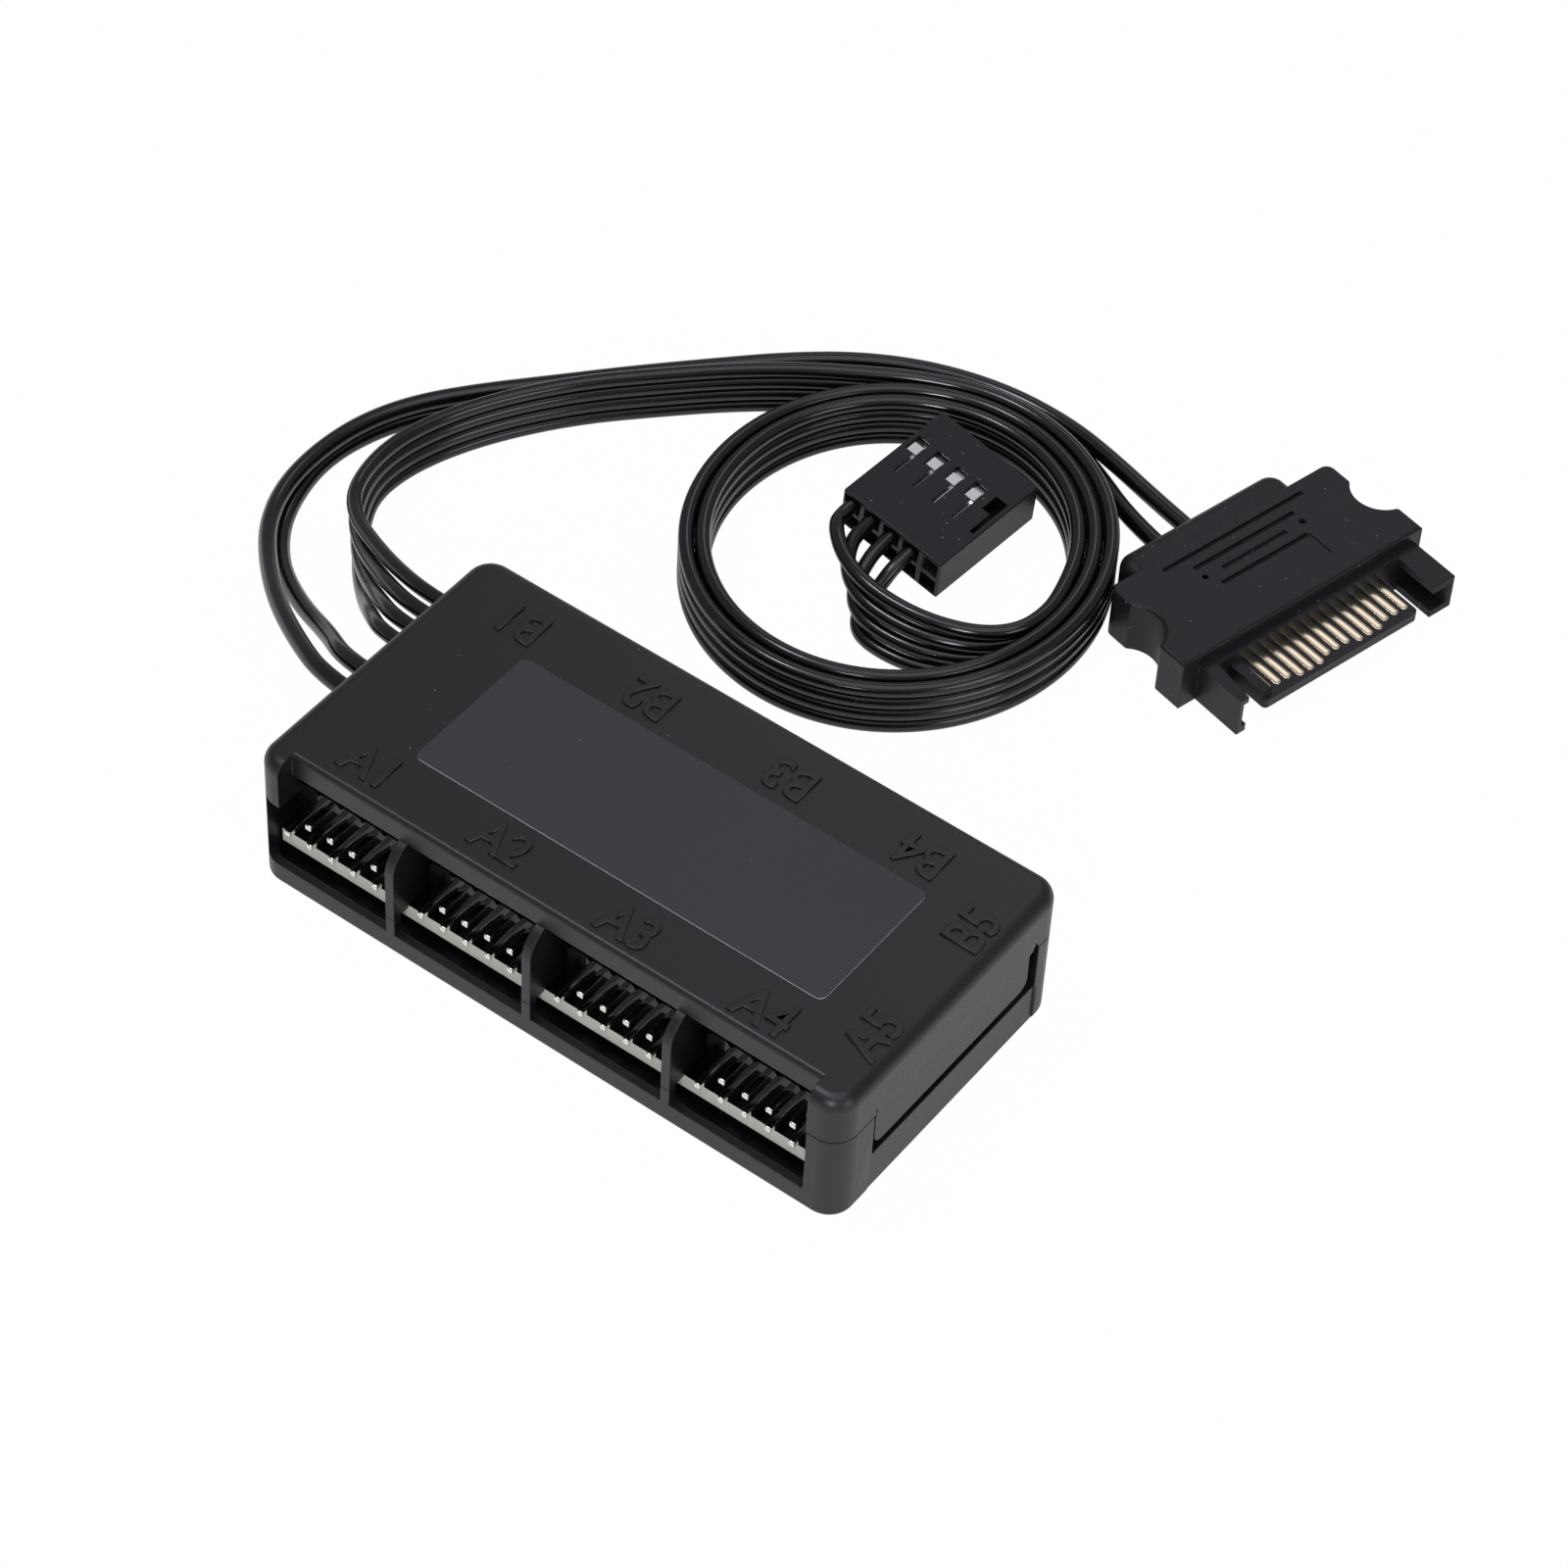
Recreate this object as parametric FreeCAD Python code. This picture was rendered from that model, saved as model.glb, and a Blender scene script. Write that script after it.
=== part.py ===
import FreeCAD, Part
import math
import os

# Internal hub: a two-part case on a board with two rows of pin headers, a coiled
# four-wire lead with a crimp plug, and a pair of power wires with a flat plug.
# Millimetres. Origin at the middle of the case's underside, +X towards the closed
# end, -Y towards the front row of ports, +Z up. The wires leave the -X end.

Vector = FreeCAD.Vector

# Pin headers
pin_pitch = 2.54
pin_size = 0.64
pin_tip_chamfer = 0.12
pins_per_row = 5
rows_per_port = 2
port_count = 4
pin_reach = 3.0
pin_tip_setback = 1.0
header_depth = 2.54
header_notch = 0.45
bend_room = 1.46
tail_length = 1.2
pin_hole_clearance = 0.05

# Board and the parts on it
board_thickness = 1.6
board_under = 1.8
board_end_clearance = 0.3
board_edge_setback = 2.2
chip_length = 10.2
chip_width = 5.3
chip_height = 1.75
chip_lead_span = 7.8
chip_lead_pitch = 0.65
chip_leads_per_side = 14
chip_lead_width = 0.3
chip_lead_thickness = 0.2
chip_gap = 3.8
crystal_length = 10.5
crystal_width = 4.0
crystal_height = 3.5
can_diameter = 5.0
can_height = 5.2
can_base = 5.3
can_base_height = 0.8
small_part_length = 1.6
small_part_width = 0.8
capacitor_height = 0.8
resistor_height = 0.5
small_part_pitch = 2.6
small_part_gap = 0.3
strip_clearance = 1.96

# Case
wall = 0.9
floor = 1.2
lid_top = 1.6
lid_height = 5.4
header_headroom = 0.52
port_gap = 2.75
divider_thickness = 0.95
divider_reach = 7.5
divider_stub = 2.0
divider_seam = 0.1
divider_board_gap = 0.3
divider_curve_drop = 0.15
first_port_offset = 7.88
right_post = 3.52
sill_drop = 0.5
corner_radius = 2.5
top_round = 1.4
bottom_round = 0.6
seam_chamfer = 0.14
notch_depth = 2.0
notch_height = 2.6
notch_left = 2.9
notch_right_gap = 0.1
notch_round = 0.6
lip_thickness = 1.0
window_front_margin = 5.0
window_back_margin = 3.4
tab_gap_front = 0.5
tab_gap_back = 1.1
tab_gap_below = 1.1
tab_recess = 0.2
tab_corner = 1.2
slot_nick = 1.0
end_recess = 0.2
end_recess_margin = 0.3
post_diameter = 3.2
peg_diameter = 1.5
peg_height = 1.2
peg_clearance = 0.05
boss_diameter = 3.4
boss_offset = 1.14
label_length = 45.0
label_width = 15.6
label_thickness = 0.12
label_corner = 0.8
label_shift = 1.4

# Wires
usb_wire_count = 4
usb_wire_diameter = 1.5
usb_wire_pitch = 1.56
power_wire_diameter = 1.8
bend_share = 0.45
wire_notch_clearance = 0.1
wire_rest = 0.05
usb_exit_y = (5.55, 7.7, 9.85, 12.0)
power_exit_y = (-2.25, 0.65)

# Coil of the four-wire lead: it turns clockwise seen from above
coil_centre = (-10.1, 50.6)
coil_start_deg = 120.5
coil_sweep_deg = 830.0
coil_start_radius = 21.1
coil_step = 1.62
coil_stretch = (0.985, 1.04)
coil_arc_deg = 15.0

# Crimp plug on the four-wire lead
usb_plug_width = pins_per_row * pin_pitch
usb_plug_length = 14.0
usb_plug_height = 5.1
usb_plug_corner = (-17.3, 51.7, 1.65)
usb_plug_across = (12.54, -1.37, -1.5)
usb_plug_along = (1.65, 13.86, 1.13)
cell_size = 2.0
cell_depth = 11.5
pin_mouth = 0.9
window_width = 1.5
window_length = 2.1
window_from_rear = 9.1
latch_line_length = 2.9
latch_line_width = 0.45
latch_line_depth = 0.3
usb_plug_edge_round = 0.2
contact_width = 1.7
contact_rear = 3.2
tail_straight = 1.6
contact_front_gap = 0.3
contact_lance_width = 1.15
contact_lance_length = 1.2
contact_lance_shift = -0.3
contact_lance_drop = 0.2

# Flat drive-power plug on the pair of wires
power_plug_place = (22.15, 68.6)
power_plug_turn_deg = -14.3
power_body_height = 5.9
power_back = 8.9
power_front = 3.15
power_back_half = 14.2
power_front_half = 15.45
power_body_shift = 0.25
power_bite_place = -3.3
power_bite_radius = 3.1
power_bite_depth = 1.15
power_corner = 1.0
power_cusp_round = 0.4
power_edge_round = 0.35
power_boss_depth = 3.05
power_boss_half = 10.35
power_boss_shift = -0.35
power_boss_drop = 0.4
power_boss_corner = 1.8
power_boss_crest = 1.4
shroud_top = 4.5
shelf_depth = 0.8
tongue_reach = 6.05
tongue_width = 19.85
tongue_thickness = 1.1
tongue_bottom = 1.7
tongue_shift = 0.02
tongue_corner = 0.5
rim_width = 1.15
rim_height = 0.7
guide_reach = 5.8
left_guide_gap = 1.35
left_guide_root_width = 1.8
left_guide_tip_width = 1.05
left_plate_thickness = 0.7
left_wall_thickness = 0.5
left_foot_width = 1.1
left_foot_height = 0.9
right_guide_gap = 2.0
right_guide_width = 2.75
right_guide_bottom = 0.5
right_plate_thickness = 0.8
right_wall_thickness = 0.7
power_contact_count = 15
power_contact_pitch = 1.27
power_contact_width = 0.84
power_contact_thickness = 0.2
power_contact_sunk = 0.1
power_contact_setback = 0.9
power_contact_stagger = 0.5
power_contact_shift = 0.3
power_contact_tip_round = 0.36
long_contacts = (3, 4, 5, 9, 10, 11)
power_contact_root = 5.8
power_wire_height = 2.9
power_wire_spacing = 3.9
power_wire_shift = -2.4
power_wire_depth = 3.9
power_bore_clearance = 0.05
grip_groove_depth = 0.35
grip_groove_width = 0.5
grip_grooves = ((-7.3, 9.0), (-5.75, 6.45), (-4.3, 4.15), (-2.75, 5.55))
grip_shift = 0.55
grip_frame_length = 3.1
grip_frame_width = 0.25
grip_frame_depth = 0.2
grip_hole_diameter = 0.65
grip_hole_depth = 1.0
grip_hole_place = -4.35
grip_hole_half = 6.3

# Worked-out places
header_length = pins_per_row * pin_pitch
header_height = rows_per_port * pin_pitch
port_pitch = header_length + port_gap
board_bottom = floor + board_under
board_top = board_bottom + board_thickness
sill = board_bottom - sill_drop
seam = board_top + header_height + header_headroom
case_height = seam + lid_height
strip_half = chip_lead_span / 2 + strip_clearance
far_leg = strip_half
near_leg = far_leg + pin_pitch
header_back = near_leg + bend_room
header_front = header_back + header_depth
pin_tip = header_front + pin_reach
half_width = pin_tip + pin_tip_setback
bay_half = (port_pitch - divider_thickness) / 2
case_length = first_port_offset + (port_count - 1) * port_pitch + bay_half + right_post
half_length = case_length / 2
port_x = [-half_length + first_port_offset + port_pitch * index for index in range(port_count)]
divider_x = [x + port_pitch / 2 for x in port_x[:-1]]
opening_left = -half_length + wall
opening_right = port_x[-1] + bay_half
board_half = half_width - board_edge_setback
boss_y = strip_half + boss_offset
boss_places = [(divider_x[index], side * boss_y) for index in (0, -1) for side in (-1, 1)]
board_left = -half_length + wall + board_end_clearance
board_right = half_length - wall - tab_recess - board_end_clearance


def box(low, high):
    size = Vector(*high) - Vector(*low)
    return Part.makeBox(size.x, size.y, size.z, Vector(*low))


def upright_edges(shape):
    found = []
    for edge in shape.Edges:
        start = edge.Vertexes[0].Point
        end = edge.Vertexes[-1].Point
        if abs(start.x - end.x) < 1e-6 and abs(start.y - end.y) < 1e-6:
            found.append(edge)
    return found


def edges_at_height(shape, height):
    return [edge for edge in shape.Edges
            if abs(edge.BoundBox.ZMin - height) < 1e-6 and abs(edge.BoundBox.ZMax - height) < 1e-6]


def rounded_box(low, high, radius):
    block = box(low, high)
    return block.makeFillet(radius, upright_edges(block))


def prism(points, direction):
    corners = [Vector(*point) for point in points]
    outline = Part.makePolygon(corners + corners[:1])
    return Part.Face(outline).extrude(Vector(*direction))


def fuse_all(first, others):
    return first.fuse(others).removeSplitter()


def cylinder(radius, height, foot, axis=(0, 0, 1)):
    return Part.makeCylinder(radius, height, Vector(*foot), Vector(*axis))


# Case base

def case_base():
    outer = rounded_box((-half_length, -half_width, 0), (half_length, half_width, seam), corner_radius)
    outer = outer.makeFillet(bottom_round, edges_at_height(outer, 0))
    inner = rounded_box((-half_length + wall, -half_width + wall, floor),
                        (half_length - wall, half_width - wall, seam + wall), corner_radius - wall)
    shell = outer.cut(inner)
    cuts = []
    for side in (-1, 1):
        near = sorted((side * (half_width - corner_radius), side * (half_width + wall)))
        cuts.append(box((opening_left, near[0], sill), (opening_right, near[1], seam + wall)))
    window_low = (half_length - 2 * wall, -half_width + window_front_margin, board_top)
    window_high = (half_length + wall, half_width - window_back_margin, seam + wall)
    cuts.append(box(window_low, window_high))
    recess_low = (half_length - end_recess, window_low[1] - end_recess_margin, 0)
    recess_high = (half_length + wall, window_high[1] + end_recess_margin, board_top)
    cuts.append(box(recess_low, recess_high))
    shell = shell.cut(cuts)
    added = []
    for x in divider_x:
        for side in (-1, 1):
            span = sorted((side * (half_width - wall), side * half_width))
            added.append(box((x - divider_thickness / 2, span[0], sill - wall / 2),
                             (x + divider_thickness / 2, span[1], sill + divider_stub)))
    for x, y in boss_places:
        added.append(cylinder(post_diameter / 2, board_under + wall / 2, (x, y, floor - wall / 2)))
        peg_length = board_thickness + peg_height + wall / 2
        added.append(cylinder(peg_diameter / 2, peg_length, (x, y, board_bottom - wall / 2)))
    return fuse_all(shell, added)


# Case lid

def front_divider(x):
    # Flush with the front face below, then swept back to the notch in the lid
    straight_top = seam - divider_curve_drop
    notch_y = -half_width + notch_depth
    curve_top = case_height - notch_height
    rise = curve_top - straight_top
    radius = (notch_depth ** 2 + rise ** 2) / (2 * notch_depth)
    half_angle = math.asin(rise / radius) / 2
    middle = (-half_width + radius * (1 - math.cos(half_angle)), straight_top + radius * math.sin(half_angle))
    left = x - divider_thickness / 2
    low = sill + divider_stub + divider_seam
    step = board_top + divider_board_gap
    roof = case_height - lid_top / 2
    inner = -half_width + divider_reach
    points = [(-half_width, low), (-half_width, straight_top), (notch_y, curve_top),
              (notch_y + lip_thickness / 2, roof), (inner, roof), (inner, step), (notch_y, step),
              (notch_y, low)]
    corners = [Vector(left, y, z) for y, z in points]
    edges = [Part.LineSegment(corners[0], corners[1]).toShape()]
    edges.append(Part.Arc(corners[1], Vector(left, *middle), corners[2]).toShape())
    for start, end in zip(corners[2:], corners[3:] + corners[:1]):
        edges.append(Part.LineSegment(start, end).toShape())
    return Part.Face(Part.Wire(edges)).extrude(Vector(divider_thickness, 0, 0))


def back_divider(x):
    left = x - divider_thickness / 2
    low = sill + divider_stub + divider_seam
    step = board_top + divider_board_gap
    roof = case_height - lid_top / 2
    inner = half_width - divider_reach
    edge = half_width - notch_depth
    points = [(half_width, low), (half_width, seam + wall), (half_width - wall, seam + 2 * wall),
              (half_width - wall, roof), (inner, roof), (inner, step), (edge, step), (edge, low)]
    return prism([(left, y, z) for y, z in points], (divider_thickness, 0, 0))


def end_tab():
    low = (half_length - tab_recess - wall, -half_width + window_front_margin + tab_gap_front,
           board_top + tab_gap_below)
    high = (half_length - tab_recess, half_width - window_back_margin - tab_gap_back, seam + wall)
    tab = box(low, high)
    rounded = [edge for edge in tab.Edges
               if abs(edge.BoundBox.ZMax - low[2]) < 1e-6 and edge.BoundBox.YLength < 1e-6]
    return tab.makeFillet(tab_corner, rounded)


def wire_notch(y, diameter):
    radius = diameter / 2 + wire_notch_clearance
    start = -half_length - wall
    length = 3 * wall
    middle = seam + diameter / 2 + wire_rest
    arch = cylinder(radius, length, (start, y, middle), (1, 0, 0))
    throat = box((start, y - radius, seam - wall), (start + length, y + radius, middle))
    return arch.fuse(throat)


def slot_nicks():
    # The window's side slots run a little way up into the lid, to a point
    start = half_length - 2 * wall
    tips = []
    window_front = -half_width + window_front_margin
    window_back = half_width - window_back_margin
    slots = ((window_front, window_front + tab_gap_front), (window_back - tab_gap_back, window_back))
    for low, high in slots:
        points = [(start, low, seam), (start, high, seam), (start, (low + high) / 2, seam + slot_nick)]
        tips.append(prism(points, (3 * wall, 0, 0)))
    return tips


def case_lid():
    outer = rounded_box((-half_length, -half_width, seam),
                        (half_length, half_width, case_height), corner_radius)
    outer = outer.makeFillet(top_round, edges_at_height(outer, case_height))
    outer = outer.makeChamfer(seam_chamfer, edges_at_height(outer, seam))
    inner = rounded_box((-half_length + wall, -half_width + wall, seam - wall),
                        (half_length - wall, half_width - wall, case_height - lid_top), corner_radius - wall)
    shell = outer.cut(inner)
    notch_start = -half_length + notch_left
    notch_end = opening_right - notch_right_gap
    notch_y = -half_width + notch_depth
    notch = box((notch_start, -half_width - wall, seam - wall), (notch_end, notch_y, case_height + wall))
    shell = shell.cut([notch] + slot_nicks())
    added = [box((notch_start - wall, notch_y, case_height - notch_height),
                 (notch_end + wall, notch_y + lip_thickness, case_height - lid_top / 2))]
    for x in (notch_start - wall, notch_end):
        added.append(box((x, -half_width + wall / 2, seam),
                         (x + wall, notch_y + lip_thickness, case_height - lid_top / 2)))
    for x in divider_x:
        added.append(front_divider(x))
        added.append(back_divider(x))
    for x, y in boss_places:
        added.append(cylinder(boss_diameter / 2, case_height - lid_top / 2 - board_top, (x, y, board_top)))
    added.append(end_tab())
    lid = fuse_all(shell, added)
    notch_edge = [edge for edge in edges_at_height(lid, case_height)
                  if abs(edge.BoundBox.YMax - notch_y) < 1e-6 and edge.BoundBox.YLength < 1e-6]
    lid = lid.makeFillet(notch_round, notch_edge)
    cuts = []
    for x, y in boss_places:
        cuts.append(cylinder(peg_diameter / 2 + peg_clearance, peg_height + wall, (x, y, board_top)))
    cuts += [wire_notch(y, usb_wire_diameter) for y in usb_exit_y]
    cuts += [wire_notch(y, power_wire_diameter) for y in power_exit_y]
    return lid.cut(cuts)


def top_label():
    low = (label_shift - label_length / 2, -label_width / 2, case_height)
    high = (label_shift + label_length / 2, label_width / 2, case_height + label_thickness)
    return rounded_box(low, high, label_corner)


# Ports, drawn for a front port in the middle of the case

def pin_places():
    # Column and row of each pin: the upper row's first pin is the missing key
    places = []
    for row in range(rows_per_port):
        for column in range(pins_per_row):
            if row == 0 or column > 0:
                places.append((column, row))
    return places


def pin_centre(column, row):
    x = (column - (pins_per_row - 1) / 2) * pin_pitch
    z = board_top + (row + 0.5) * pin_pitch
    leg = near_leg if row == 0 else far_leg
    return x, z, -leg


def bent_pin(column, row):
    x, z, leg_y = pin_centre(column, row)
    half = pin_size / 2
    bar = box((x - half, -pin_tip, z - half), (x + half, leg_y + half, z + half))
    tip_edges = [edge for edge in bar.Edges if abs(edge.BoundBox.YMax + pin_tip) < 1e-6]
    bar = bar.makeChamfer(pin_tip_chamfer, tip_edges)
    leg = box((x - half, leg_y - half, board_bottom - tail_length), (x + half, leg_y + half, z + half))
    return bar.fuse(leg).removeSplitter()


def port_pins():
    return Part.makeCompound([bent_pin(column, row) for column, row in pin_places()])


def header_body():
    half = header_length / 2
    body = box((-half, -header_front, board_top), (half, -header_back, board_top + header_height))
    cuts = []
    depth = (0, header_depth, 0)
    for index in range(pins_per_row + 1):
        x = -half + index * pin_pitch
        for z, way in ((board_top, 1), (board_top + header_height, -1)):
            points = [(x - header_notch, -header_front, z), (x, -header_front, z + way * header_notch),
                      (x + header_notch, -header_front, z)]
            cuts.append(prism(points, depth))
    side = pin_size / 2
    for column, row in pin_places():
        x, z, leg_y = pin_centre(column, row)
        cuts.append(box((x - side, -header_front, z - side), (x + side, -header_back, z + side)))
    return body.cut(cuts)


def at_port(shape, x, side):
    placed = shape.copy()
    if side == "b":
        placed.rotate(Vector(0, 0, 0), Vector(0, 0, 1), 180)
    placed.translate(Vector(x, 0, 0))
    return placed


# Board

def circuit_board():
    board = box((board_left, -board_half, board_bottom), (board_right, board_half, board_top))
    hole = pin_size / math.sqrt(2) + pin_hole_clearance
    holes = []
    for port in port_x:
        for column, row in pin_places():
            x, z, leg_y = pin_centre(column, row)
            for way in (1, -1):
                holes.append(cylinder(hole, board_thickness, (port + way * x, way * leg_y, board_bottom)))
    for x, y in boss_places:
        holes.append(cylinder(peg_diameter / 2 + peg_clearance, board_thickness, (x, y, board_bottom)))
    return board.cut(holes)


def chip(x):
    body_foot = board_top + chip_lead_thickness
    middle = body_foot + chip_height / 2
    body = box((x - chip_length / 2, -chip_width / 2, body_foot),
               (x + chip_length / 2, chip_width / 2, body_foot + chip_height))
    leads = []
    foot_start = (chip_width / 2 + chip_lead_span / 2) / 2
    for index in range(chip_leads_per_side):
        left = x + (index - (chip_leads_per_side - 1) / 2) * chip_lead_pitch - chip_lead_width / 2
        for side in (-1, 1):
            profile = [(chip_width / 2 - chip_lead_width, middle), (foot_start, middle),
                       (foot_start, board_top), (chip_lead_span / 2, board_top),
                       (chip_lead_span / 2, board_top + chip_lead_thickness),
                       (foot_start + chip_lead_thickness, board_top + chip_lead_thickness),
                       (foot_start + chip_lead_thickness, middle + chip_lead_thickness),
                       (chip_width / 2 - chip_lead_width, middle + chip_lead_thickness)]
            leads.append(prism([(left, side * y, z) for y, z in profile], (chip_lead_width, 0, 0)))
    return body.fuse(leads)


def crystal(x):
    straight = crystal_length - crystal_width
    can = box((x - straight / 2, -crystal_width / 2, board_top),
              (x + straight / 2, crystal_width / 2, board_top + crystal_height))
    ends = [cylinder(crystal_width / 2, crystal_height, (x + way * straight / 2, 0, board_top))
            for way in (-1, 1)]
    return fuse_all(can, ends)


def bulk_capacitor(x):
    base = box((x - can_base / 2, -can_base / 2, board_top),
               (x + can_base / 2, can_base / 2, board_top + can_base_height))
    return base.fuse(cylinder(can_diameter / 2, can_height, (x, 0, board_top)))


def small_parts(centres, y, height):
    # A row of small soldered parts on each side of each controller
    parts = []
    for centre in centres:
        for step in (-1, 0, 1):
            x = centre + step * small_part_pitch
            parts.append(box((x - small_part_length / 2, y - small_part_width / 2, board_top),
                             (x + small_part_length / 2, y + small_part_width / 2, board_top + height)))
    return Part.makeCompound(parts)


# Wires: straight runs joined by tangent arcs

def rounded_path(points):
    corners = [Vector(*point) for point in points]
    edges = []
    radii = []
    start = corners[0]
    for before, corner, after in zip(corners, corners[1:], corners[2:]):
        back = before - corner
        ahead = after - corner
        shorter = min(back.Length, ahead.Length)
        turn = math.pi - back.getAngle(ahead)
        reach = bend_share * shorter
        radius = reach / math.tan(turn / 2)
        radii.append(radius)
        back = back.normalize()
        ahead = ahead.normalize()
        first = corner + back * reach
        last = corner + ahead * reach
        inward = (back + ahead).normalize()
        middle = corner + inward * (radius / math.cos(turn / 2) - radius)
        edges.append(Part.LineSegment(start, first).toShape())
        edges.append(Part.Arc(first, middle, last).toShape())
        start = last
    edges.append(Part.LineSegment(start, corners[-1]).toShape())
    return Part.Wire(edges), radii


def tube(name, points, diameter):
    path, radii = rounded_path(points)
    start = Vector(*points[0])
    heading = Vector(*points[1]) - start
    ring = Part.Wire(Part.makeCircle(diameter / 2, start, heading))
    solid = path.makePipe(Part.Face(ring))
    expected = math.pi * diameter ** 2 / 4 * path.Length
    print(name, "length", round(path.Length, 1), "volume ratio", round(solid.Volume / expected, 4),
          "radii", [round(radius, 1) for radius in radii])
    return solid


def between(bottom, top, share):
    pairs = [(Vector(*below), Vector(*above)) for below, above in zip(bottom, top)]
    return [tuple(below + (above - below) * share) for below, above in pairs]


# Route of the four-wire lead: its bottom and top wires, from the board to the coil
usb_low = usb_wire_diameter / 2
usb_high = usb_low + (usb_wire_count - 1) * usb_wire_pitch
usb_lie = seam + usb_wire_diameter / 2 + wire_rest
lead_bottom = [
    (-25.9, 3.6, board_top), (-25.9, 3.6, usb_lie), (-28.5, 5.55, usb_lie), (-36.0, 5.55, usb_lie),
    (-39.8, 8.4, 8.6), (-44.3, 12.6, 4.4), (-48.7, 17.0, 1.7), (-52.3, 21.5, 0.85)]
lead_top = [
    (-18.1, 3.6, board_top), (-18.1, 3.6, usb_lie), (-28.5, 12.0, usb_lie), (-36.0, 12.0, usb_lie),
    (-41.2, 13.8, 9.6), (-46.0, 16.2, 8.0), (-50.4, 18.8, 6.5), (-53.5, 21.9, 5.65)]
lead_on_edge = [
    (-54.9, 26.2), (-54.9, 31.0), (-53.4, 36.2), (-50.6, 41.8), (-46.4, 47.9), (-41.4, 53.3),
    (-36.2, 58.6), (-30.8, 63.2), (-25.54, 66.78)]

# From the coil's inner end round a small loop to the plug
tail_bottom = [(7.3, 50.8, usb_low), (6.3, 46.2, usb_low), (3.2, 42.2, usb_low), (-1.2, 39.9, usb_low),
               (-5.4, 39.5, usb_low), (-8.3, 40.6, usb_low), (-8.5, 45.0, 1.3)]
tail_top = [(7.3, 50.8, usb_high), (6.6, 47.4, usb_high), (3.9, 44.7, usb_high), (-0.5, 43.1, usb_high),
            (-5.2, 42.8, usb_high), (-9.3, 43.4, 5.9), (-14.4, 47.0, 6.1)]

# Route of the power pair: its lower and upper wires, from the board to the flat plug
power_low = power_wire_diameter / 2
power_high = power_low + power_wire_diameter
power_lie = seam + power_wire_diameter / 2 + wire_rest
pair_lower = [
    (-25.5, 0.65, board_top), (-25.5, 0.65, power_lie), (-36.2, 0.65, power_lie), (-42.0, 4.9, 7.4),
    (-48.4, 8.3, 4.4), (-54.4, 12.4, 2.2), (-58.4, 16.8, 1.1), (-60.6, 21.2, power_low)]
pair_upper = [
    (-25.5, -2.25, board_top), (-25.5, -2.25, power_lie), (-36.2, -2.25, power_lie), (-43.1, 1.5, 9.0),
    (-49.4, 5.9, 6.7), (-54.8, 10.9, 4.6), (-58.8, 15.6, 3.4), (-61.2, 20.9, power_high + 0.1)]
pair_stacked = [
    (-61.8, 26.6), (-61.1, 32.2), (-58.9, 37.5), (-55.1, 42.7), (-50.2, 48.3), (-45.1, 54.2),
    (-39.8, 59.9), (-34.4, 65.6), (-28.6, 70.5), (-22.0, 74.0), (-14.6, 75.9), (-7.2, 75.9)]
pair_lower_end = [(-1.8, 73.0, 1.8)]
pair_upper_end = [(-0.4, 75.1, 3.1)]


def coil_point(turned, offset, height):
    angle = math.radians(coil_start_deg - turned)
    radius = coil_start_radius - coil_step * turned / 360 + offset
    return (coil_centre[0] + coil_stretch[0] * radius * math.cos(angle),
            coil_centre[1] + coil_stretch[1] * radius * math.sin(angle), height)


def spiral_block(first, offset, height):
    # One turn of the spiral, closed by the straight step from its end to its start
    count = int(360 / coil_arc_deg)
    edges = []
    for index in range(count):
        turned = first + index * coil_arc_deg
        ends = [Vector(*coil_point(turned + share * coil_arc_deg, offset, 0)) for share in (0, 0.5, 1)]
        edges.append(Part.Arc(*ends).toShape())
    closing_start = Vector(*coil_point(first + 360, offset, 0))
    closing_end = Vector(*coil_point(first, offset, 0))
    edges.append(Part.LineSegment(closing_start, closing_end).toShape())
    return Part.Face(Part.Wire(edges)).extrude(Vector(0, 0, height))


def usb_coil():
    height = usb_high + usb_wire_diameter / 2
    outside = spiral_block(0, usb_wire_diameter / 2, height)
    inside = spiral_block(coil_sweep_deg - 360, -usb_wire_diameter / 2, height)
    return outside.cut(inside)


def usb_lead(share):
    height = usb_low + (usb_high - usb_low) * share
    points = between(lead_bottom, lead_top, share)
    points += [(x, y, height) for x, y in lead_on_edge]
    return points + [coil_point(0, 0, height)]


# Crimp plug: local x runs across its columns, y from the rear to the mating end

def usb_plug_matrix():
    across = Vector(*usb_plug_across).normalize()
    along = Vector(*usb_plug_along).normalize()
    up = across.cross(along).normalize()
    along = up.cross(across)
    corner = usb_plug_corner
    return FreeCAD.Matrix(across.x, along.x, up.x, corner[0], across.y, along.y, up.y, corner[1],
                          across.z, along.z, up.z, corner[2], 0, 0, 0, 1)


def at_usb_plug(shape):
    return shape.transformed(usb_plug_matrix())


def cell_centre(column, row):
    return (column + 0.5) * pin_pitch, usb_plug_height / 2 + (row - 0.5) * pin_pitch


def usb_tail(share):
    height = usb_low + (usb_high - usb_low) * share
    column = round((usb_wire_count - 1) * (1 - share))
    x, z = cell_centre(column, 1)
    points = [coil_point(coil_sweep_deg, 0, height)] + between(tail_bottom, tail_top, share)
    for y in (-tail_straight, contact_rear):
        placed = usb_plug_matrix().multVec(Vector(x, y, z))
        points.append(tuple(placed))
    return points


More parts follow.
